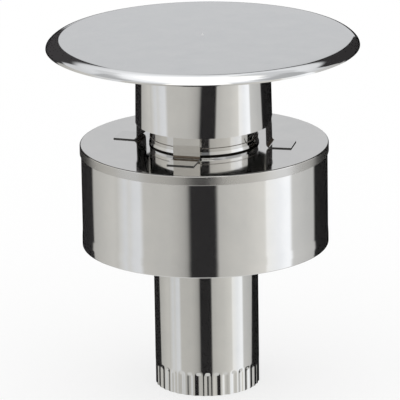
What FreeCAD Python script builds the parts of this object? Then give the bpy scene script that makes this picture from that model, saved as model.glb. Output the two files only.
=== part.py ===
"""Flue terminal in polished stainless sheet, for a 100 mm flue.

A spigot with a crimped end carries a wide weather drum. Above the drum's lid
stand a flue pipe, an open wind sleeve round it and a domed rain cap, the last
two held by four bent legs. Millimetres, +Z up, the front is -Y. The origin is
the centre of the spigot's lower end.
"""
import FreeCAD, Part
import math
import os

# Sheet thicknesses and clearances
tube_wall = 0.5
skin_wall = 0.5
cap_wall = 0.8
leg_wall = 1.0
seat_gap = 0.05          # between sheets that lie on each other
slip_gap = 0.2           # round the spigot in the lid, and round its bead in the socket
pipe_play = 0.9          # between the spigot and the plain wall of the flue pipe
fold_gap = 0.16          # left open inside a flattened hem

# Spigot: the plain tube, its crimped end and its two rolled beads
spigot_diameter = 100.0
spigot_reach = 139.5     # from its lower end to the drum's lower edge
spigot_rise = 30.0       # above the lid, inside the flue pipe
crimp_length = 24.0
crimp_runout = 5.0       # part of that length over which the flutes fade out
crimp_depth = 0.9
flute_count = 36
bead_height = 1.1
bead_base = 5.2
bead_crown = 1.6
bead_bend = 0.7
bead_offset = 0.2        # from the lid's face to the foot of the bead

# Weather drum: lid with a hemmed skirt, and the open shell under it
drum_diameter = 235.0
drum_height = 99.5
lid_corner = 1.1         # outside radius of the lid's corner
skirt_height = 9.2
skirt_hem = 6.0
shell_hem = 8.0
hem_room = 1.0           # left open inside the shell's rounded hem
shell_flare = 0.4        # how far the lower hem stands out of the wall
flare_height = 8.0       # of the cone between the wall and the hem

# Flue pipe above the lid, with the socket that takes the spigot
pipe_height = 50.0       # from the lid to its mouth
socket_height = 7.6      # from the lid to the step
socket_step = 0.4
step_bend = 0.1
lip_gap = 1.4            # from the lid to the flared lip
lip_height = 2.8
lip_flare = 0.7
lip_bend = 1.5

# Wind sleeve, slightly wider at the bottom
sleeve_room = 12.3       # between the flue pipe and the sleeve's upper edge
sleeve_taper = 1.0       # how much its lower edge is larger in radius
sleeve_height = 57.0
sleeve_clearance = 20.9  # from the lid to its lower edge

# Rain cap: a shallow dome, a wide shoulder and a tighter turned-down rim
cap_diameter = 298.0
cap_clearance = 94.4     # from the lid to the rim's edge
cap_rise = 2.4           # of the dome above the shoulder's arc
cap_shoulder = 16.7      # radius of the shoulder's arc
cap_rim = 4.1            # radius of the rim's arc
cap_turn = 50.0          # slope at which the shoulder passes into the rim, in degrees

# Legs: one strip each, with a foot on the lid and a flange under the cap
leg_bearings = {"leg_front": -15.3, "leg_right": 78.0, "leg_back": 164.0, "leg_left": -108.0}
leg_width = 26.0
leg_bend = 2.8           # inside radius of both bends
foot_length = 23.0
flange_length = 20.0

# Heights and radii that follow
drum_bottom = spigot_reach
lid_top = drum_bottom + drum_height
sleeve_bottom = lid_top + sleeve_clearance
sleeve_top = sleeve_bottom + sleeve_height
cap_edge = lid_top + cap_clearance
spigot_radius = spigot_diameter / 2
shell_radius = drum_diameter / 2
pipe_radius = spigot_radius + pipe_play + tube_wall
sleeve_top_radius = pipe_radius + sleeve_room + skin_wall
sleeve_bottom_radius = sleeve_top_radius + sleeve_taper
cap_radius = cap_diameter / 2
bead_radius = spigot_radius + bead_height
socket_radius = bead_radius + slip_gap + tube_wall

Z_AXIS = FreeCAD.Vector(0, 0, 1)
CENTRE = FreeCAD.Vector(0, 0, 0)
TINY = 1e-6
SEAM = 1e-3              # skins whose edges lie this close are sewn together


def upright(x, z):
    """A point of the radial plane, at radius x and height z."""
    return FreeCAD.Vector(x, 0, z)


def rounded_wire(corners):
    """Closed wire through (x, z, corner radius), each corner rounded by a tangent arc."""
    spans = []
    for index, (x, z, radius) in enumerate(corners):
        here = upright(x, z)
        if radius < TINY:
            spans.append((here, None, here))
            continue
        before = upright(*corners[index - 1][:2])
        after = upright(*corners[(index + 1) % len(corners)][:2])
        back = (before - here).normalize()
        ahead = (after - here).normalize()
        half = back.getAngle(ahead) / 2
        reach = radius / math.tan(half)
        inwards = (back + ahead).normalize()
        middle = here + inwards * (radius / math.sin(half) - radius)
        spans.append((here + back * reach, middle, here + ahead * reach))
    edges = []
    for index, (start, middle, end) in enumerate(spans):
        if middle:
            edges.append(Part.Arc(start, middle, end).toShape())
        following = spans[(index + 1) % len(spans)][0]
        if end.distanceToPoint(following) > TINY:
            edges.append(Part.LineSegment(end, following).toShape())
    return Part.Wire(edges)


def folded_section(path, wall):
    """Section of a folded sheet.

    path holds (x, z, inside bend radius) along one face of the sheet, and the
    wall lies to the right of the way it runs. A bend of 0 is folded sharp inside
    and round outside.
    """
    points = [upright(x, z) for x, z, _ in path]
    headings = [(b - a).normalize() for a, b in zip(points, points[1:])]
    rights = [upright(d.z, -d.x) for d in headings]
    near = []
    far = []
    for index, (x, z, bend) in enumerate(path):
        if index in (0, len(path) - 1):
            side = rights[0] if index == 0 else rights[-1]
            shifted = points[index] + side * wall
            near.append((x, z, 0))
            far.append((shifted.x, shifted.z, 0))
            continue
        into, out = headings[index - 1], headings[index]
        first, second = rights[index - 1], rights[index]
        shifted = points[index] + (first + second) * (wall / (1 + first.dot(second)))
        turns_left = into.x * out.z - into.z * out.x > 0
        near.append((x, z, bend if turns_left else bend + wall))
        far.append((shifted.x, shifted.z, bend + wall if turns_left else bend))
    return rounded_wire(near + far[::-1])


def spun(wire):
    """Solid swept by a closed wire of the radial plane round the axis."""
    return Part.Face(wire).revolve(CENTRE, Z_AXIS, 360)


def bead_path(height):
    """Outer face of a rolled bead centred at this height, from its top down."""
    return [
        (spigot_radius, height + bead_base / 2, 0),
        (bead_radius, height + bead_crown / 2, bead_bend),
        (bead_radius, height - bead_crown / 2, bead_bend),
        (spigot_radius, height - bead_base / 2, 0),
    ]


def sewn(lower, upper, level):
    """One solid from two that meet in the same flat ring at this height."""
    def is_ring(face):
        box = face.BoundBox
        return abs(box.ZMin - level) < SEAM and abs(box.ZMax - level) < SEAM

    skins = [face for face in lower.Faces + upper.Faces if not is_ring(face)]
    shell = Part.makeShell(skins)
    shell.sewShape(SEAM)
    return Part.Solid(shell)


def fluted_wire(outer_radius, depth, height):
    """Closed curve of the crimp: ridges stay at the radius, flutes go in by the depth."""
    points_per_flute = 4
    count = flute_count * points_per_flute
    points = []
    for index in range(count):
        turn = 2 * math.pi * index / count
        dip = depth * (0.5 + 0.5 * math.cos(flute_count * turn))
        radius = outer_radius - dip
        points.append(FreeCAD.Vector(radius * math.sin(turn), -radius * math.cos(turn), height))
    curve = Part.BSplineCurve()
    curve.interpolate(Points=points, PeriodicFlag=True)
    return Part.Wire([curve.toShape()])


def make_crimp():
    """The fluted length of the spigot: two lofted skins, one wall apart."""
    full = crimp_length - crimp_runout
    stations = [(0.0, 1.0), (full, 1.0)]
    fading_steps = 2
    for step in range(1, fading_steps + 1):
        share = step / fading_steps
        fade = 0.5 + 0.5 * math.cos(math.pi * share)
        stations.append((full + crimp_runout * share, fade))
    skins = []
    for radius in (spigot_radius, spigot_radius - tube_wall):
        wires = [fluted_wire(radius, crimp_depth * fade, height) for height, fade in stations]
        skins.append(Part.makeLoft(wires, True, True))
    return skins[0].cut(skins[1])


def make_spigot():
    """Tube from the crimped end up into the flue pipe, beaded above and below the lid."""
    clamp = bead_offset + bead_base / 2
    path = [(spigot_radius, lid_top + spigot_rise, 0)]
    path += bead_path(lid_top + clamp)
    path += bead_path(lid_top - skin_wall - clamp)
    path += [(spigot_radius, crimp_length, 0)]
    tube = spun(folded_section(path, tube_wall))
    return sewn(make_crimp(), tube, crimp_length)


def make_lid():
    """Flat disc held between the beads, with a skirt that is turned down and hemmed."""
    skirt_radius = shell_radius + seat_gap + 2 * skin_wall + fold_gap
    skirt_foot = lid_top - skirt_height
    path = [
        (spigot_radius + slip_gap, lid_top, 0),
        (skirt_radius, lid_top, lid_corner - skin_wall),
        (skirt_radius, skirt_foot, 0),
        (shell_radius + seat_gap, skirt_foot, 0),
        (shell_radius + seat_gap, skirt_foot + skirt_hem, 0),
    ]
    return spun(folded_section(path, skin_wall))


def make_shell():
    """Open drum wall under the lid, with its lower edge folded inwards."""
    hem_radius = shell_radius + shell_flare
    inner_radius = hem_radius - 2 * skin_wall - hem_room
    path = [
        (shell_radius, lid_top - skin_wall - seat_gap, 0),
        (shell_radius, drum_bottom + shell_hem + flare_height, 0),
        (hem_radius, drum_bottom + shell_hem, 0),
        (hem_radius, drum_bottom, hem_room / 2),
        (inner_radius, drum_bottom, hem_room / 2),
        (inner_radius, drum_bottom + shell_hem, 0),
    ]
    return spun(folded_section(path, skin_wall))


def make_pipe():
    """Flue pipe with a stepped socket and a flared lip just clear of the lid."""
    step = lid_top + socket_height
    lip_bottom = lid_top + lip_gap
    path = [
        (pipe_radius, lid_top + pipe_height, 0),
        (pipe_radius, step + socket_step, step_bend),
        (socket_radius, step, step_bend),
        (socket_radius, lip_bottom + lip_height, lip_bend),
        (socket_radius + lip_flare, lip_bottom, 0),
    ]
    return spun(folded_section(path, tube_wall))


def make_sleeve():
    """Open conical sleeve round the flue pipe."""
    path = [
        (sleeve_top_radius, sleeve_top, 0),
        (sleeve_bottom_radius, sleeve_bottom, 0),
    ]
    return spun(folded_section(path, skin_wall))


def cap_arcs():
    """Dome, shoulder and rim of the cap's outer face: centre, radius and both end slopes."""
    turn = math.radians(cap_turn)
    rim = upright(cap_radius - cap_rim, cap_edge)
    lean = upright(math.sin(turn), math.cos(turn))
    shoulder = rim + lean * (cap_rim - cap_shoulder)
    drop = (shoulder.x ** 2 + cap_rise ** 2) / (2 * cap_rise)
    dome = upright(0, shoulder.z + cap_rise - drop)
    join = math.atan2(shoulder.x, shoulder.z - dome.z)
    return [
        (dome, drop + cap_shoulder, 0.0, join),
        (shoulder, cap_shoulder, join, turn),
        (rim, cap_rim, turn, math.pi / 2),
    ]


def make_cap():
    """Rain cap: both faces of the sheet are drawn as three tangent arcs."""
    def face_of_sheet(depth):
        arcs = []
        for centre, radius, start, end in cap_arcs():
            slopes = (start, (start + end) / 2, end)
            reach = radius - depth
            points = [centre + upright(math.sin(a), math.cos(a)) * reach for a in slopes]
            arcs.append(Part.Arc(*points))
        return arcs

    outer = face_of_sheet(0.0)
    inner = face_of_sheet(cap_wall)
    edge = Part.LineSegment(outer[-1].EndPoint, inner[-1].EndPoint)
    axis = Part.LineSegment(inner[0].StartPoint, outer[0].StartPoint)
    return spun(Part.Wire([curve.toShape() for curve in outer + [edge] + inner[::-1] + [axis]]))


def cap_underside(x):
    """Height of the cap's underside at the edge of a leg's flange, x out from the axis."""
    dome, radius, _, _ = cap_arcs()[0]
    return dome.z + math.sqrt((radius - cap_wall) ** 2 - x ** 2 - (leg_width / 2) ** 2)


def make_leg(bearing):
    """Strip inside the sleeve, bent outwards over the lid and again under the cap."""
    half = leg_width / 2

    def wall_reach(radius):
        """Where a flat strip touches the round inside of the sleeve."""
        return math.sqrt((radius - skin_wall) ** 2 - half ** 2) - seat_gap

    top_x = wall_reach(sleeve_top_radius)
    bottom_x = wall_reach(sleeve_bottom_radius)
    lean = (top_x - bottom_x) / sleeve_height
    foot_z = lid_top + seat_gap + leg_wall
    foot_x = bottom_x + lean * (foot_z - sleeve_bottom)
    flange_z = cap_underside(top_x) - seat_gap - leg_wall
    flange_x = top_x + lean * (flange_z - sleeve_top)
    flange_end = flange_x + flange_length
    end_z = cap_underside(flange_end) - seat_gap - leg_wall
    path = [
        (flange_end, end_z, 0),
        (flange_x, flange_z, leg_bend),
        (foot_x, foot_z, leg_bend),
        (foot_x + foot_length, foot_z, 0),
    ]
    section = Part.Face(folded_section(path, leg_wall))
    section.translate(FreeCAD.Vector(0, -half, 0))
    leg = section.extrude(FreeCAD.Vector(0, leg_width, 0))
    leg.rotate(CENTRE, Z_AXIS, bearing - 90)
    return leg


def main():
    pieces = {
        "spigot_tube": make_spigot(),
        "drum_lid": make_lid(),
        "drum_shell": make_shell(),
        "flue_pipe": make_pipe(),
        "wind_sleeve": make_sleeve(),
        "rain_cap": make_cap(),
    }
    for name, bearing in leg_bearings.items():
        pieces[name] = make_leg(bearing)
    os.makedirs("parts", exist_ok=True)
    for name, shape in pieces.items():
        shape.exportStep("parts/" + name + ".step")
        print(name, shape.isValid(), len(shape.Solids), round(shape.Volume, 1))


main()
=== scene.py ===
"""Flue terminal in polished stainless sheet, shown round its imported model.

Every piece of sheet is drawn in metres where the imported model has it, with
thin walls, folded hems and a finely fluted spigot, and takes a polished
stainless finish. The front is -Y and the terminal stands on its spigot.
"""
import math

import bmesh
import bpy
from mathutils import Matrix, Vector


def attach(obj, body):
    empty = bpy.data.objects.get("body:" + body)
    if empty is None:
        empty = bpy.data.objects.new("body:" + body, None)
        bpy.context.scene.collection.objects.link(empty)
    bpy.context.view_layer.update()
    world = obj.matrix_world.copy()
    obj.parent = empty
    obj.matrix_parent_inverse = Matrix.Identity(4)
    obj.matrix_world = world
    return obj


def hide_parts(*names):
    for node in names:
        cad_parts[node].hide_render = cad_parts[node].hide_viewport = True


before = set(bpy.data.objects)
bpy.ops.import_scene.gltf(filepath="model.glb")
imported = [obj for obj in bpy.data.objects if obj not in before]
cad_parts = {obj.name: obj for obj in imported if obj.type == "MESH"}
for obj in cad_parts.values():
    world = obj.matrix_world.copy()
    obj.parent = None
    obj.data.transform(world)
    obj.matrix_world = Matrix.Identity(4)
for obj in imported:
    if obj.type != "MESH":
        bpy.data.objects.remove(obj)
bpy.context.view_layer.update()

MM = 0.001
AROUND = 288                     # sides of every round piece
BEND_STEPS = 5                   # facets across a folded or rolled bend
SMOOTH_UP_TO = math.radians(40)  # sharper corners stay crisp
SLACK = 0.02 * MM                # how far a point may lie from where it is looked for

# Sheet thicknesses and the room between sheets
tube_wall = 0.5 * MM
skin_wall = 0.5 * MM
cap_wall = 0.8 * MM
leg_wall = 1.0 * MM
seat_gap = 0.05 * MM
fold_gap = 0.16 * MM

# Spigot
spigot_radius = 50.0 * MM
spigot_top = 269.0 * MM
flute_count = 36
crimp_length = 24.0 * MM
crimp_runout = 5.0 * MM
crimp_depth = 0.9 * MM
least_dip = 0.001 * MM
runout_steps = 4
bead_radius = 51.1 * MM
bead_foot = 2.6 * MM             # half height of a bead where it leaves the tube
bead_crown = 0.8 * MM            # half height of its crown
bead_foot_bend = 0.5 * MM
bead_crown_bend = 1.2 * MM
bead_seat = 2.8 * MM             # from a face of the lid to the middle of a bead

# Drum
shell_radius = 117.5 * MM
drum_bottom = 139.5 * MM
lid_top = 239.0 * MM
lid_hole = 50.2 * MM
lid_corner = 1.1 * MM
skirt_height = 9.2 * MM
skirt_hem = 6.0 * MM
shell_hem = 8.0 * MM
hem_room = 1.0 * MM
hem_bend = skin_wall + hem_room / 2 - 0.01 * MM
shell_flare = 0.4 * MM
flare_height = 8.0 * MM
flare_bend = 8.0 * MM

# Flue pipe: the heights of its step and its lip count from the lid
pipe_radius = 51.4 * MM
pipe_top = 289.0 * MM
socket_radius = 51.8 * MM
step_top = 8.0 * MM
step_top_bend = 0.1 * MM
step_foot = 7.6 * MM
step_foot_bend = 0.6 * MM
lip_top = 4.2 * MM
lip_bend = 1.5 * MM
lip_foot = 1.4 * MM
lip_flare = 0.7 * MM

# Wind sleeve
sleeve_top_radius = 64.2 * MM
sleeve_bottom_radius = 65.2 * MM
sleeve_bottom = 259.9 * MM
sleeve_top = 316.9 * MM

# Rain cap
cap_radius = 148.95 * MM
cap_edge = 333.4 * MM
cap_rise = 2.39 * MM
cap_shoulder = 16.7 * MM
cap_rim = 4.1 * MM
cap_turn = math.radians(50)
cap_steps = (10, 18, 28)         # rings drawn over the rim, the shoulder and the dome

# Legs: bearings are from the front, positive towards +X
leg_bearings = {"leg_front": -15.3, "leg_right": 78.0, "leg_back": 164.0, "leg_left": -108.0}
leg_width = 26.0 * MM
leg_bend = 2.8 * MM
leg_bend_steps = 6
foot_length = 23.0 * MM
flange_length = 20.0 * MM

# Finish of the steel: colours, and the least and most roughness
METAL_SHARE = 0.982
SMUDGED_COLOUR = (0.755, 0.757, 0.752)
CLEAN_COLOUR = (0.800, 0.797, 0.785)
SKIRT_COLOUR = (0.625, 0.618, 0.600)
# Near-white colour of the lathe's mark on the cap, a painted highlight
MARK_HIGHLIGHT_COLOUR = (0.97, 0.97, 0.96)
MIRROR_GLOSS = (0.035, 0.095)
SKIRT_GLOSS = (0.24, 0.31)
SHEARED_GLOSS = (0.30, 0.45)
LINE_GLOSS = (0.45, 0.60)
MARK_GLOSS = (0.50, 0.60)
MOTTLE_SPAN = (0.5, 1.1)         # grain and smudges together, from bright to dull

# Grain of the sheets, as the scale of its pattern along X, Y and Z
SPUN_GRAIN = (26, 26, 26)
ROLLED_GRAIN = (60, 60, 900)
DRAWN_GRAIN = (900, 900, 25)
SHEARED_GRAIN = (300, 300, 300)

# Scale of the slow waves and the smudges, depth of the grain and the lathe's rings
WAVE_SCALE = 14.0
SMUDGE_SCALE = 38.0
GRAIN_DEPTH = 0.0006 * MM
LATHE_DEPTH = 0.0012 * MM

# Bands of the finish: lowest and highest place, and the colour of the dark ones, which are
# painted shade and, on the lid's corner, a painted dark reflection
SKIRT_BAND = (lid_top - skirt_height - MM, lid_top - lid_corner)
SKIRT_FADE = 0.35 * MM
LINE_FADE = 0.06 * MM
# Painted dark reflection along the lid's corner bend
LID_PAINTED_REFLECTION = (lid_top - 0.45 * MM, lid_top - 0.07 * MM, (0.06, 0.055, 0.05))
# Painted shade on the spigot's bead and tube where they sit under the pipe's lip
TUBE_SHADE = (lid_top, lid_top + 7.0 * MM, (0.030, 0.027, 0.024))
# Painted shade along the crease of the pipe's step
PIPE_STEP_PAINTED_SHADE = (lid_top + 7.4 * MM, lid_top + 8.1 * MM, (0.30, 0.27, 0.24))
# Painted shade in the crease where each leg bends into its foot
LEG_BEND_PAINTED_SHADE = (lid_top + 1.3 * MM, lid_top + 3.6 * MM, (0.16, 0.13, 0.10))

# The lathe's mark on the cap, painted near-white as a highlight, and the swellings of the wind
# sleeve
CENTRE_MARK_HIGHLIGHT = (1.2 * MM, 4.6 * MM)      # half width and half length
SWELLING_COUNT = 3.0
SWELLING_HEIGHT = 1.66 * MM
SWELLING_SHARES = (0.90, 1.40)          # share of that at the bottom and at the top
SWELLING_TURN = 6.0                     # degrees
SWELLING_SPREAD = (-66.0, 130.0, 22.0)  # first and last bearing in degrees, and softness


# Selecting and modelling

def deselect():
    """Leaves edit mode and selects nothing."""
    if bpy.context.mode != "OBJECT":
        bpy.ops.object.mode_set(mode="OBJECT")
    bpy.ops.object.select_all(action="DESELECT")


def pick(piece, kind, test):
    """Selects the vertices or edges of the open piece that pass the test."""
    bpy.ops.mesh.select_mode(type=kind)
    bpy.ops.mesh.select_all(action="DESELECT")
    mesh = bmesh.from_edit_mesh(piece.data)
    for part in {"VERT": mesh.verts, "EDGE": mesh.edges}[kind]:
        if test(part):
            part.select = True
    mesh.select_flush_mode()
    bmesh.update_edit_mesh(piece.data)


def is_near(point, radius, height):
    """True for a point on the ring at this radius and height."""
    return (abs(math.hypot(point.x, point.y) - radius) < SLACK
            and abs(point.z - height) < SLACK)


def middle(low, high):
    """The value halfway between two others."""
    return (low + high) / 2


def start_ring(name, radius, height):
    """A new piece, open in edit mode: one ring of edges round the axis."""
    deselect()
    bpy.ops.mesh.primitive_circle_add(vertices=AROUND, radius=radius, location=(0, 0, height))
    piece = bpy.context.object
    piece.name = name
    piece.data.name = name
    bpy.ops.object.transform_apply(location=True, rotation=False, scale=False)
    bpy.ops.object.mode_set(mode="EDIT")
    bpy.ops.mesh.select_mode(type="EDGE")
    bpy.ops.mesh.select_all(action="SELECT")
    return piece


def draw_rings(rings):
    """Extrudes the selected ring from one (radius, height) to the next."""
    for start, end in zip(rings, rings[1:]):
        rise = end[1] - start[1]
        bpy.ops.mesh.extrude_edges_move(TRANSFORM_OT_translate={"value": (0, 0, rise)})
        grow = end[0] / start[0]
        bpy.ops.transform.resize(value=(grow, grow, 1), center_override=(0, 0, end[1]))


def bend_ring(piece, path, index):
    """Rounds one corner of a drawn sheet with the bend radius that its path gives."""
    radius, height, bend = path[index]
    before, after = path[index - 1], path[index + 1]
    into = math.atan2(height - before[1], radius - before[0])
    out = math.atan2(after[1] - height, after[0] - radius)
    turn = abs((out - into + math.pi) % (2 * math.pi) - math.pi)
    pick(piece, "EDGE", lambda e: all(is_near(v.co, radius, height) for v in e.verts))
    bpy.ops.mesh.bevel(offset_type="OFFSET", offset=bend * math.tan(turn / 2),
                       segments=BEND_STEPS, profile=0.5, affect="EDGES")


def draw_sheet(name, path):
    """Round sheet drawn ring by ring along (radius, height, bend radius)."""
    piece = start_ring(name, path[0][0], path[0][1])
    draw_rings(path)
    for index in range(1, len(path) - 1):
        if path[index][2] > 0:
            bend_ring(piece, path, index)
    return piece


def face_outwards(piece, spot, way):
    """Turns the open sheet round unless its face nearest to the spot looks the given way."""
    mesh = bmesh.from_edit_mesh(piece.data)
    mesh.normal_update()
    nearest = min(mesh.faces, key=lambda face: (face.calc_center_median() - Vector(spot)).length)
    if nearest.normal.dot(Vector(way)) < 0:
        bpy.ops.mesh.select_all(action="SELECT")
        bpy.ops.mesh.flip_normals()


def face_front(piece, radius, height):
    """Turns an upright round sheet so that its outside at this place looks outwards."""
    face_outwards(piece, (0, -radius, height), (0, -1, 0))


def apply_modifier(piece, kind, **settings):
    """Adds one modifier with these settings and applies it."""
    deselect()
    piece.select_set(True)
    bpy.context.view_layer.objects.active = piece
    modifier = piece.modifiers.new(kind.lower(), kind)
    for key, value in settings.items():
        setattr(modifier, key, value)
    bpy.ops.object.modifier_apply(modifier=modifier.name)


def finish_sheet(piece, wall, material, node):
    """Gives a drawn sheet its thickness, cut edges, smooth shading, finish and place."""
    deselect()
    piece.data.materials.clear()
    piece.data.materials.append(material)
    piece.data.materials.append(bpy.data.materials["sheared_edge"])
    apply_modifier(piece, "SOLIDIFY", thickness=wall, offset=-1, use_even_offset=True,
                   material_offset_rim=1)
    piece.select_set(True)
    bpy.context.view_layer.objects.active = piece
    bpy.ops.object.shade_smooth_by_angle(angle=SMOOTH_UP_TO)
    apply_modifier(piece, "WEIGHTED_NORMAL", keep_sharp=True, weight=100)
    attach(piece, "root")
    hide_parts(node)


# Steps of a material

def link(tree, source, target):
    """Joins an output to an input."""
    tree.links.new(source, target)


def two_numbers(tree, operation, first, second=0.0):
    """One step of arithmetic on sockets or numbers."""
    step = tree.nodes.new("ShaderNodeMath")
    step.operation = operation
    for index, value in enumerate((first, second)):
        if isinstance(value, (int, float)):
            step.inputs[index].default_value = value
        else:
            link(tree, value, step.inputs[index])
    return step.outputs["Value"]


def product(tree, first, second):
    """Two sockets or numbers multiplied."""
    return two_numbers(tree, "MULTIPLY", first, second)


def scaled(tree, value, from_low, from_high, to_low, to_high, curve="LINEAR"):
    """A value carried from one range to another and held at the ends."""
    reach = tree.nodes.new("ShaderNodeMapRange")
    reach.interpolation_type = curve
    for socket, number in (("From Min", from_low), ("From Max", from_high),
                           ("To Min", to_low), ("To Max", to_high)):
        reach.inputs[socket].default_value = number
    link(tree, value, reach.inputs["Value"])
    return reach.outputs["Result"]


def window(tree, value, low, high, soft):
    """1 between two values and 0 outside them, with soft edges."""
    opened = scaled(tree, value, low - soft, low + soft, 0.0, 1.0, "SMOOTHSTEP")
    closed = scaled(tree, value, high - soft, high + soft, 1.0, 0.0, "SMOOTHSTEP")
    return product(tree, opened, closed)


def mix_numbers(tree, factor, low, high):
    """Blend of two number sockets."""
    change = product(tree, two_numbers(tree, "SUBTRACT", high, low), factor)
    return two_numbers(tree, "ADD", low, change)


def mix_colours(tree, factor, low, high):
    """Blend of two colours, each fixed or a socket."""
    mix = tree.nodes.new("ShaderNodeMix")
    mix.data_type = "RGBA"
    link(tree, factor, mix.inputs["Factor"])
    sockets = [socket for socket in mix.inputs if socket.type == "RGBA"]
    for socket, value in zip(sockets, (low, high)):
        if isinstance(value, tuple):
            socket.default_value = value
        else:
            link(tree, value, socket)
    return next(socket for socket in mix.outputs if socket.type == "RGBA")


def parted(tree, vector):
    """The X, Y and Z of a vector socket."""
    axes = tree.nodes.new("ShaderNodeSeparateXYZ")
    link(tree, vector, axes.inputs["Vector"])
    return [axes.outputs[axis] for axis in "XYZ"]


def front_bearing(tree, across, away):
    """Bearing from the front in radians, positive towards +X."""
    return two_numbers(tree, "ARCTAN2", across, product(tree, away, -1.0))


def noise(tree, vector, scale, detail, roughness=0.5):
    """Soft random pattern over the piece."""
    pattern = tree.nodes.new("ShaderNodeTexNoise")
    pattern.inputs["Scale"].default_value = scale
    pattern.inputs["Detail"].default_value = detail
    pattern.inputs["Roughness"].default_value = roughness
    link(tree, vector, pattern.inputs["Vector"])
    return pattern.outputs["Fac"]


def relief(tree, height, depth, under=None):
    """Bump of this depth, laid over another one."""
    bump = tree.nodes.new("ShaderNodeBump")
    bump.inputs["Distance"].default_value = depth
    link(tree, height, bump.inputs["Height"])
    if under is not None:
        link(tree, under, bump.inputs["Normal"])
    return bump.outputs["Normal"]


# Finishes

def lathe_rings(tree, place):
    """Fine rings left by the spinning lathe."""
    rings = tree.nodes.new("ShaderNodeTexWave")
    rings.wave_type = "RINGS"
    rings.rings_direction = "Z"
    rings.inputs["Scale"].default_value = 90.0
    rings.inputs["Distortion"].default_value = 1.5
    rings.inputs["Detail"].default_value = 2.0
    rings.inputs["Detail Scale"].default_value = 0.4
    link(tree, place, rings.inputs["Vector"])
    return rings.outputs["Fac"]


def chuck_mark_highlight(tree, across, away):
    """Share of the small mark that the lathe's centre leaves on the cap, painted near-white as a
    highlight.
    """
    wide = two_numbers(tree, "DIVIDE", across, CENTRE_MARK_HIGHLIGHT[0])
    deep = two_numbers(tree, "DIVIDE", away, CENTRE_MARK_HIGHLIGHT[1])
    reach = two_numbers(tree, "ADD", product(tree, wide, wide), product(tree, deep, deep))
    return scaled(tree, reach, 0.6, 1.2, 1.0, 0.0)


def out_of_round(tree, across, away, up):
    """Height of the sleeve's soft swellings, a little stronger at the top."""
    bearing = front_bearing(tree, across, away)
    turned = two_numbers(tree, "SUBTRACT", bearing, math.radians(SWELLING_TURN))
    lobes = two_numbers(tree, "SINE", product(tree, turned, SWELLING_COUNT))
    grown = scaled(tree, up, sleeve_bottom, sleeve_top, *SWELLING_SHARES)
    spread = window(tree, bearing, *(math.radians(degrees) for degrees in SWELLING_SPREAD))
    return product(tree, product(tree, lobes, spread), grown)


def polished_steel(name, grain_scale, wave_height, tone=(1.0, 1.0, 1.0), gloss=MIRROR_GLOSS,
                   spun=False, marked_with_painted_highlight=False, dull_band=None, painted_shade_band=None, oval=False):
    """Mirror-polished stainless: rolling grain, a slight waviness and soft smudges."""
    material = bpy.data.materials.new(name)
    material.use_nodes = True
    tree = material.node_tree
    shader = tree.nodes["Principled BSDF"]
    shader.inputs["Metallic"].default_value = METAL_SHARE
    place = tree.nodes.new("ShaderNodeTexCoord").outputs["Object"]
    across, away, up = parted(tree, place)

    # Rolling grain drawn out along the sheet, slow waves of thin sheet, smudges from handling
    stretch = tree.nodes.new("ShaderNodeMapping")
    stretch.inputs["Scale"].default_value = grain_scale
    link(tree, place, stretch.inputs["Vector"])
    grain = noise(tree, stretch.outputs["Vector"], 1.0, 3.0)
    waves = noise(tree, place, WAVE_SCALE, 1.0)
    smudges = noise(tree, place, SMUDGE_SCALE, 4.0, 0.62)

    # Colour: a little cooler and darker where the sheet is smudged
    ramp = tree.nodes.new("ShaderNodeValToRGB")
    ends = ((0.3, SMUDGED_COLOUR), (0.7, CLEAN_COLOUR))
    for element, (position, colour) in zip(ramp.color_ramp.elements, ends):
        element.position = position
        element.color = tuple(part * share for part, share in zip(colour, tone)) + (1,)
    link(tree, smudges, ramp.inputs["Fac"])
    colour = ramp.outputs["Color"]

    # Gloss: grain and smudges both scatter it slightly
    mottled = two_numbers(tree, "ADD", product(tree, smudges, 0.6), grain)
    roughness = scaled(tree, mottled, *MOTTLE_SPAN, *gloss)

    # Patches: a dull skirt, a dark band of painted shade (a painted dark reflection on the lid's
    # corner), the lathe's mark painted near-white as a highlight
    patches = []
    if dull_band:
        patches += [(window(tree, up, *dull_band, SKIRT_FADE), SKIRT_GLOSS, SKIRT_COLOUR)]
    if painted_shade_band:
        low, high, dark = painted_shade_band
        patches += [(window(tree, up, low, high, LINE_FADE), LINE_GLOSS, dark)]
    if marked_with_painted_highlight:
        patches += [(chuck_mark_highlight(tree, across, away), MARK_GLOSS, MARK_HIGHLIGHT_COLOUR)]
    for share, dulled, tint in patches:
        dull = scaled(tree, mottled, *MOTTLE_SPAN, *dulled)
        roughness = mix_numbers(tree, share, roughness, dull)
        colour = mix_colours(tree, share, colour, tint + (1,))
    link(tree, colour, shader.inputs["Base Color"])
    link(tree, roughness, shader.inputs["Roughness"])

    # Relief
    normal = relief(tree, waves, wave_height)
    normal = relief(tree, grain, GRAIN_DEPTH, normal)
    if spun:
        normal = relief(tree, lathe_rings(tree, place), LATHE_DEPTH, normal)
    if oval:
        normal = relief(tree, out_of_round(tree, across, away, up), SWELLING_HEIGHT, normal)
    link(tree, normal, shader.inputs["Normal"])
    return material


# Pieces

def cap_centres():
    """Centres of the cap's rim, shoulder and dome arcs, and the dome's outer radius."""
    rim = (cap_radius - cap_rim, cap_edge)
    shoulder = (rim[0] + math.sin(cap_turn) * (cap_rim - cap_shoulder),
                rim[1] + math.cos(cap_turn) * (cap_rim - cap_shoulder))
    drop = (shoulder[0] ** 2 + cap_rise ** 2) / (2 * cap_rise)
    dome = (0.0, shoulder[1] + cap_rise - drop)
    return rim, shoulder, dome, drop + cap_shoulder


def along(centre, radius, start, end, steps):
    """Rings along an arc, past its first one. Slopes are measured from straight up."""
    slopes = [start + (end - start) * step / steps for step in range(1, steps + 1)]
    return [(centre[0] + radius * math.sin(slope), centre[1] + radius * math.cos(slope))
            for slope in slopes]


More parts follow.
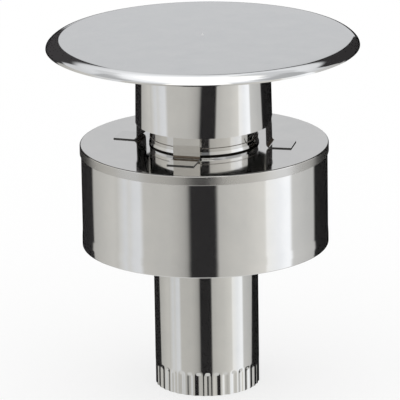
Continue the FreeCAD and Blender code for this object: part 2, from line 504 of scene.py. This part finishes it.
def make_cap(material):
    """Rain cap: rim, shoulder and dome drawn from the edge up."""
    rim, shoulder, dome, dome_radius = cap_centres()
    join = math.atan2(shoulder[0], shoulder[1] - dome[1])
    rings = [(cap_radius, cap_edge)]
    rings += along(rim, cap_rim, math.pi / 2, cap_turn, cap_steps[0])
    rings += along(shoulder, cap_shoulder, cap_turn, join, cap_steps[1])
    rings += along(dome, dome_radius, join, 0.0, cap_steps[2])[:-1]
    piece = start_ring("cap_sheet", *rings[0])
    draw_rings(rings)
    bpy.ops.mesh.extrude_edges_move(TRANSFORM_OT_translate={"value": (0, 0, 0)})
    bpy.ops.mesh.merge(type="CENTER")
    face_outwards(piece, (0, 0, cap_edge), (0, 0, 1))
    finish_sheet(piece, cap_wall, material, "rain_cap")


def make_lid(material):
    """Drum lid with its skirt turned down and hemmed back on itself."""
    skirt_radius = shell_radius + seat_gap + 2 * skin_wall + fold_gap
    skirt_foot = lid_top - skirt_height
    inside = shell_radius + seat_gap
    piece = draw_sheet("lid_sheet", [
        (lid_hole, lid_top, 0),
        (skirt_radius, lid_top, lid_corner),
        (skirt_radius, skirt_foot, skin_wall),
        (inside, skirt_foot, skin_wall),
        (inside, skirt_foot + skirt_hem, 0),
    ])
    face_outwards(piece, (0, -middle(lid_hole, shell_radius), lid_top), (0, 0, 1))
    finish_sheet(piece, skin_wall, material, "drum_lid")


def make_shell(material):
    """Drum wall, open below, with its lower edge folded inwards."""
    hem_radius = shell_radius + shell_flare
    inside = hem_radius - 2 * skin_wall - hem_room
    piece = draw_sheet("shell_sheet", [
        (shell_radius, lid_top - skin_wall - seat_gap, 0),
        (shell_radius, drum_bottom + shell_hem + flare_height, flare_bend),
        (hem_radius, drum_bottom + shell_hem, flare_bend),
        (hem_radius, drum_bottom, hem_bend),
        (inside, drum_bottom, hem_bend),
        (inside, drum_bottom + shell_hem, 0),
    ])
    face_front(piece, shell_radius, middle(drum_bottom, lid_top))
    finish_sheet(piece, skin_wall, material, "drum_shell")


def make_pipe(material):
    """Flue pipe with its stepped socket and flared lip."""
    piece = draw_sheet("pipe_sheet", [
        (pipe_radius, pipe_top, 0),
        (pipe_radius, lid_top + step_top, step_top_bend),
        (socket_radius, lid_top + step_foot, step_foot_bend),
        (socket_radius, lid_top + lip_top, lip_bend),
        (socket_radius + lip_flare, lid_top + lip_foot, 0),
    ])
    face_front(piece, pipe_radius, middle(lid_top, pipe_top))
    finish_sheet(piece, tube_wall, material, "flue_pipe")


def make_sleeve(material):
    """Conical wind sleeve, open at both ends."""
    piece = draw_sheet("sleeve_sheet", [
        (sleeve_top_radius, sleeve_top, 0),
        (sleeve_bottom_radius, sleeve_bottom, 0),
    ])
    face_front(piece, sleeve_top_radius, middle(sleeve_bottom, sleeve_top))
    finish_sheet(piece, skin_wall, material, "wind_sleeve")


def flute(piece, height, depth):
    """Presses one ring of the spigot inwards between the ridges of the crimp."""
    sides = AROUND // flute_count
    for step in range(sides):
        dip = depth * (0.5 + 0.5 * math.cos(2 * math.pi * step / sides))
        if dip < least_dip:
            continue

        def in_step(vert):
            if not is_near(vert.co, spigot_radius, height):
                return False
            turn = math.atan2(vert.co.x, -vert.co.y) / (2 * math.pi) * AROUND
            return round(turn) % sides == step

        pick(piece, "VERT", in_step)
        shrink = (spigot_radius - dip) / spigot_radius
        bpy.ops.transform.resize(value=(shrink, shrink, 1), center_override=(0, 0, height))


def bead_path(centre):
    """Rolled bead in the spigot's wall, drawn upwards round this height."""
    return [
        (spigot_radius, centre - bead_foot, bead_foot_bend),
        (bead_radius, centre - bead_crown, bead_crown_bend),
        (bead_radius, centre + bead_crown, bead_crown_bend),
        (spigot_radius, centre + bead_foot, bead_foot_bend),
    ]


def make_spigot(material):
    """Spigot: crimped end, plain tube and the two beads that hold the lid."""
    full = crimp_length - crimp_runout
    crimp = [(0.0, 1.0), (full, 1.0)]        # height, share of the flutes' depth
    for step in range(1, runout_steps):
        share = step / runout_steps
        crimp += [(full + crimp_runout * share, 0.5 + 0.5 * math.cos(math.pi * share))]
    path = [(spigot_radius, height, 0) for height, _ in crimp]
    path += [(spigot_radius, crimp_length, 0)]
    path += bead_path(lid_top - skin_wall - bead_seat)
    path += bead_path(lid_top + bead_seat)
    path += [(spigot_radius, spigot_top, 0)]
    piece = draw_sheet("spigot_sheet", path)
    for height, share in crimp:
        flute(piece, height, crimp_depth * share)
    face_front(piece, spigot_radius, middle(crimp_length, lid_top))
    finish_sheet(piece, tube_wall, material, "spigot_tube")


def cap_underside(reach):
    """Height of the cap's underside at the edge of a leg's flange."""
    dome, dome_radius = cap_centres()[2:]
    inner = dome_radius - cap_wall
    return dome[1] + math.sqrt(inner ** 2 - reach ** 2 - (leg_width / 2) ** 2)


def pick_fold(piece, x, z):
    """Selects the edge across a leg's strip at this place."""
    pick(piece, "EDGE", lambda e: all(
        abs(v.co.x - x) < SLACK and abs(v.co.z - z) < SLACK for v in e.verts))


def make_leg(name, bearing, material):
    """Leg: one strip, bent outwards on the lid and again under the cap."""
    def wall_reach(radius):
        return math.sqrt((radius - skin_wall) ** 2 - (leg_width / 2) ** 2) - seat_gap

    top_x, bottom_x = wall_reach(sleeve_top_radius), wall_reach(sleeve_bottom_radius)
    lean = (top_x - bottom_x) / (sleeve_top - sleeve_bottom)
    foot_z = lid_top + seat_gap + leg_wall
    foot_x = bottom_x + lean * (foot_z - sleeve_bottom)
    flange_z = cap_underside(top_x) - seat_gap - leg_wall
    flange_x = top_x + lean * (flange_z - sleeve_top)
    flange_end = flange_x + flange_length
    end_z = cap_underside(flange_end) - seat_gap - leg_wall

    deselect()
    bpy.ops.mesh.primitive_plane_add(size=1, location=(foot_x + foot_length / 2, 0, foot_z))
    piece = bpy.context.object
    piece.name = name + "_strip"
    piece.data.name = name + "_strip"
    piece.scale = (foot_length, leg_width, 1)
    bpy.ops.object.transform_apply(location=True, rotation=False, scale=True)
    bpy.ops.object.mode_set(mode="EDIT")
    folds = [(foot_x, foot_z), (flange_x, flange_z), (flange_end, end_z)]
    for start, end in zip(folds, folds[1:]):
        pick_fold(piece, *start)
        bpy.ops.mesh.extrude_edges_move(
            TRANSFORM_OT_translate={"value": (end[0] - start[0], 0, end[1] - start[1])})
    for fold in folds[:2]:
        pick_fold(piece, *fold)
        bpy.ops.mesh.bevel(offset_type="OFFSET", offset=leg_bend, segments=leg_bend_steps,
                           affect="EDGES")
    face_outwards(piece, (foot_x, 0, middle(foot_z, flange_z)), (1, 0, 0))
    bpy.ops.mesh.select_all(action="SELECT")
    bpy.ops.transform.rotate(value=math.radians(90 - bearing), orient_axis="Z",
                             center_override=(0, 0, 0))
    finish_sheet(piece, leg_wall, material, name)


def dress_terminal():
    """All pieces of the terminal with their finishes."""
    polished_steel("sheared_edge", SHEARED_GRAIN, wave_height=0.02 * MM,
                   tone=(0.11, 0.11, 0.11), gloss=SHEARED_GLOSS)
    make_cap(polished_steel("spun_polished_steel", SPUN_GRAIN, wave_height=0.10 * MM,
                            spun=True, marked_with_painted_highlight=True))
    make_lid(polished_steel("pressed_polished_steel", SPUN_GRAIN, wave_height=0.08 * MM,
                            tone=(0.975, 0.96, 0.94), spun=True, dull_band=SKIRT_BAND,
                            painted_shade_band=LID_PAINTED_REFLECTION))
    make_shell(polished_steel("rolled_polished_steel", ROLLED_GRAIN, wave_height=0.05 * MM))
    make_pipe(polished_steel("rolled_pipe_steel", ROLLED_GRAIN, wave_height=0.02 * MM,
                             painted_shade_band=PIPE_STEP_PAINTED_SHADE))
    make_sleeve(polished_steel("rolled_sleeve_steel", ROLLED_GRAIN, wave_height=0.04 * MM,
                               oval=True))
    make_spigot(polished_steel("rolled_tube_steel", ROLLED_GRAIN, wave_height=0.05 * MM,
                               tone=(0.93, 0.93, 0.92), painted_shade_band=TUBE_SHADE))
    drawn = polished_steel("drawn_polished_steel", DRAWN_GRAIN, wave_height=0.025 * MM,
                           tone=(0.91, 0.90, 0.88), painted_shade_band=LEG_BEND_PAINTED_SHADE)
    for name, bearing in leg_bearings.items():
        make_leg(name, bearing, drawn)


# Studio: all angles are in degrees

WARM = (1.0, 0.98, 0.935)
DUSK = (1.0, 0.93, 0.98)
PLAIN = (1.0, 0.995, 0.98)
COOL = (0.985, 1.0, 1.03)
FAR = 400.0                      # past every bearing and height
CARD_LEVEL = 15.0                # height at which the bearings of a card's sides are given

# Upright panels round the terminal: bearing from the front, brightness, tint
PANELS = [
    (-180, 0.015, DUSK), (-131, 0.015, DUSK), (-127, 0.50, WARM), (-103, 0.63, WARM),
    (-95, 0.67, WARM), (-90, 0.64, WARM), (-85, 0.73, PLAIN), (-80, 0.78, COOL),
    (-75, 0.75, PLAIN), (-70, 0.81, COOL), (-63, 0.84, COOL), (-59, 0.61, WARM),
    (-34, 0.58, WARM), (-26, 0.52, WARM), (-20, 0.44, WARM), (-16.5, 0.33, WARM),
    (-13.5, 0.015, DUSK), (9.5, 0.015, DUSK), (12.5, 0.55, WARM), (26, 0.635, WARM),
    (38, 0.68, WARM), (54, 0.80, WARM), (57, 0.82, WARM), (59, 1.05, PLAIN),
    (72, 1.07, COOL), (80, 1.18, COOL), (85.5, 1.20, COOL), (89, 0.69, PLAIN),
    (112, 0.58, PLAIN), (121, 0.56, PLAIN), (124.5, 0.006, DUSK), (180, 0.006, DUSK),
]
# Roof over the panels: height, brightness, tint
ROOF = [
    (-90, 0.74, COOL), (36, 0.75, COOL), (45, 0.88, COOL), (52, 0.95, COOL),
    (57, 1.08, COOL), (63, 1.20, COOL), (67, 1.40, PLAIN), (90, 1.40, PLAIN),
]
ROOF_FROM, ROOF_SOFT = 24.0, 2.0
TABLE_TO, TABLE_SOFT, TABLE_BRIGHTNESS = -31.0, 1.5, 0.75

# Cards hung in the tent, each over those before it: where its bearings are counted from,
# left side and right side (bearing, lean), lowest and highest place, softness, brightness, tint
UPPER_FRONT = ("front", ((-19.0, 0.0), (15.0, 0.0)), (12.5, FAR), 1.5, 0.62, COOL)
CARDS = [
    ("behind", ((-45.0, 0.0), (0.0, 0.0)), (2.0, 36.0), 3.0, 0.040, DUSK),
    ("behind", ((0.0, 0.0), (65.0, 0.0)), (2.0, 41.0), 2.5, 0.022, DUSK),
    ("behind", ((-3.6, 0.28), (0.0, 0.0)), (2.0, 10.0), 0.7, 0.655, COOL),
    ("behind", ((-4.7, -0.3), (14.0, 0.0)), (2.0, 36.0), 0.5, 0.66, COOL),
    ("front", ((-30.0, 0.0), (22.0, 0.0)), (22.5, FAR), 1.5, 1.45, PLAIN),
    ("behind", ((-85.0, 0.0), (-40.0, 0.0)), (47.0, 57.0), 3.0, 0.76, COOL),
    ("behind", ((15.0, 0.0), (97.0, 0.0)), (54.0, 68.0), 2.5, 0.75, COOL),
    ("behind", ((-118.0, 0.0), (-99.0, 0.89)), (26.0, 53.0), 4.0, 0.52, COOL),
    ("behind", ((108.0, -1.0), (128.0, 0.0)), (26.0, 61.0), 4.0, 0.52, COOL),
    ("front", ((237.6, 3.5), (FAR, 0.0)), (-31.0, -17.0), 0.5, 0.006, DUSK),
    ("front", ((-FAR, 0.0), (-204.9, -2.35)), (-31.0, -17.0), 0.5, 0.015, DUSK),
]

TENT_RADIUS = 12.0
TENT_HEIGHT = 0.25
FLOOR_SIZE = 14.0
FLOOR_HEIGHT = -0.2 * MM
FLOOR_WHITE = 0.65               # share of plain white in the floor that the camera sees

CAMERA_PLACE = (-0.00478, -4.12092, 1.40794)
CAMERA_DIP = 16.58
CAMERA_ROLL = -0.878
CAMERA_LENS = 404.73
FILM_WIDTH = 36.0


def tinted(brightness, tint):
    """A tint at this brightness."""
    return tuple(brightness * part for part in tint) + (1,)


def tinted_ramp(tree, angle, stops):
    """Ramp over an angle. Each stop is (angle, brightness, tint)."""
    ramp = tree.nodes.new("ShaderNodeValToRGB")
    elements = ramp.color_ramp.elements
    while len(elements) > 1:
        elements.remove(elements[-1])
    low, high = stops[0][0], stops[-1][0]
    for index, (degrees, brightness, tint) in enumerate(stops):
        spot = (degrees - low) / (high - low)
        element = elements[0] if index == 0 else elements.new(spot)
        element.position = spot
        element.color = tinted(brightness, tint)
    link(tree, scaled(tree, angle, low, high, 0.0, 1.0), ramp.inputs["Fac"])
    return ramp.outputs["Color"]


def card_share(tree, turn, rise, sides, heights, soft):
    """Share of a card in the tent: 1 on it and 0 round it."""
    above = two_numbers(tree, "SUBTRACT", rise, CARD_LEVEL)
    share = window(tree, rise, *heights, soft)
    for (bearing, lean), sign in zip(sides, (1.0, -1.0)):
        edge = two_numbers(tree, "ADD", product(tree, above, lean), bearing)
        past = product(tree, two_numbers(tree, "SUBTRACT", turn, edge), sign)
        share = product(tree, share, window(tree, past, 0.0, FAR, soft))
    return share


def paint_tent(tree, shine):
    """Brightness of the tent round the terminal, by bearing and height."""
    unit = tree.nodes.new("ShaderNodeVectorMath")
    unit.operation = "NORMALIZE"
    link(tree, tree.nodes.new("ShaderNodeTexCoord").outputs["Object"], unit.inputs[0])
    across, away, up = parted(tree, unit.outputs["Vector"])
    in_degrees = 180 / math.pi
    rise = product(tree, two_numbers(tree, "ARCSINE", up), in_degrees)
    turns = {"front": product(tree, front_bearing(tree, across, away), in_degrees),
             "behind": product(tree, two_numbers(tree, "ARCTAN2", across, away), in_degrees)}

    roofed = window(tree, rise, ROOF_FROM, FAR, ROOF_SOFT)
    level = mix_colours(tree, roofed, tinted_ramp(tree, turns["front"], PANELS),
                        tinted_ramp(tree, rise, ROOF))

    # The upper front is lit for a first reflection and dark for a second one,
    # such as the flue pipe seen in the lid
    bounces = tree.nodes.new("ShaderNodeLightPath").outputs["Ray Depth"]
    once = two_numbers(tree, "LESS_THAN", bounces, 1.5)
    for card in [UPPER_FRONT] + CARDS:
        side, sides, heights, soft, brightness, tint = card
        share = card_share(tree, turns[side], rise, sides, heights, soft)
        if card is UPPER_FRONT:
            share = product(tree, share, once)
        level = mix_colours(tree, share, level, tinted(brightness, tint))
    table = window(tree, rise, -FAR, TABLE_TO, TABLE_SOFT)
    level = mix_colours(tree, table, level, tinted(TABLE_BRIGHTNESS, PLAIN))
    link(tree, level, shine.inputs["Color"])


def make_tent():
    """Tent of light cards that only the metal shows."""
    deselect()
    bpy.ops.mesh.primitive_uv_sphere_add(segments=96, ring_count=48, radius=TENT_RADIUS,
                                         location=(0, 0, TENT_HEIGHT))
    tent = bpy.context.object
    tent.name = "studio_tent"
    panels = bpy.data.materials.new("tent_panels")
    panels.use_nodes = True
    tree = panels.node_tree
    tree.nodes.remove(tree.nodes["Principled BSDF"])
    shine = tree.nodes.new("ShaderNodeEmission")
    link(tree, shine.outputs["Emission"], tree.nodes["Material Output"].inputs["Surface"])
    paint_tent(tree, shine)
    tent.data.materials.append(panels)
    tent.visible_camera = False
    tent.visible_diffuse = False
    tent.visible_shadow = False
    tent.visible_transmission = False


def mix_shaders(tree, factor, first, second):
    """Blend of two shaders by a factor."""
    mix = tree.nodes.new("ShaderNodeMixShader")
    link(tree, factor, mix.inputs["Fac"])
    link(tree, first, mix.inputs[1])
    link(tree, second, mix.inputs[2])
    return mix.outputs["Shader"]


def make_floor():
    """Pale floor that is clear from below."""
    deselect()
    bpy.ops.mesh.primitive_plane_add(size=FLOOR_SIZE, location=(0, 0, FLOOR_HEIGHT))
    floor = bpy.context.object
    floor.name = "studio_floor"
    pale = bpy.data.materials.new("pale_floor")
    pale.use_nodes = True
    tree = pale.node_tree
    shader = tree.nodes["Principled BSDF"]
    shader.inputs["Roughness"].default_value = 1.0
    shader.inputs["Specular IOR Level"].default_value = 0.0
    shader.inputs["Base Color"].default_value = (1.0, 1.0, 1.0, 1)
    white = tree.nodes.new("ShaderNodeEmission").outputs["Emission"]
    clear = tree.nodes.new("ShaderNodeBsdfTransparent").outputs["BSDF"]
    seen = tree.nodes.new("ShaderNodeLightPath").outputs["Is Camera Ray"]
    below = tree.nodes.new("ShaderNodeNewGeometry").outputs["Backfacing"]
    lifted = mix_shaders(tree, product(tree, seen, FLOOR_WHITE), shader.outputs["BSDF"], white)
    link(tree, mix_shaders(tree, below, lifted, clear),
         tree.nodes["Material Output"].inputs["Surface"])
    floor.data.materials.append(pale)
    floor.visible_glossy = False


def light_room():
    """Plain white light from all round."""
    world = bpy.data.worlds.new("soft_white_room")
    bpy.context.scene.world = world
    world.use_nodes = True
    background = world.node_tree.nodes["Background"]
    background.inputs["Color"].default_value = (1, 1, 1, 1)
    background.inputs["Strength"].default_value = 1.0


def make_camera():
    """Camera at the height and distance of the photograph, looking down at the terminal."""
    data = bpy.data.cameras.new("camera")
    camera = bpy.data.objects.new("camera", data)
    bpy.context.scene.collection.objects.link(camera)
    data.sensor_width = FILM_WIDTH
    data.lens = CAMERA_LENS
    data.clip_end = 50.0
    camera.location = CAMERA_PLACE
    turn = (Matrix.Rotation(math.radians(90 - CAMERA_DIP), 4, "X")
            @ Matrix.Rotation(math.radians(CAMERA_ROLL), 4, "Z"))
    camera.rotation_euler = turn.to_euler()
    bpy.context.scene.camera = camera


dress_terminal()
make_floor()
make_tent()
light_room()
make_camera()
bpy.context.scene.view_settings.view_transform = "Standard"

deselect()
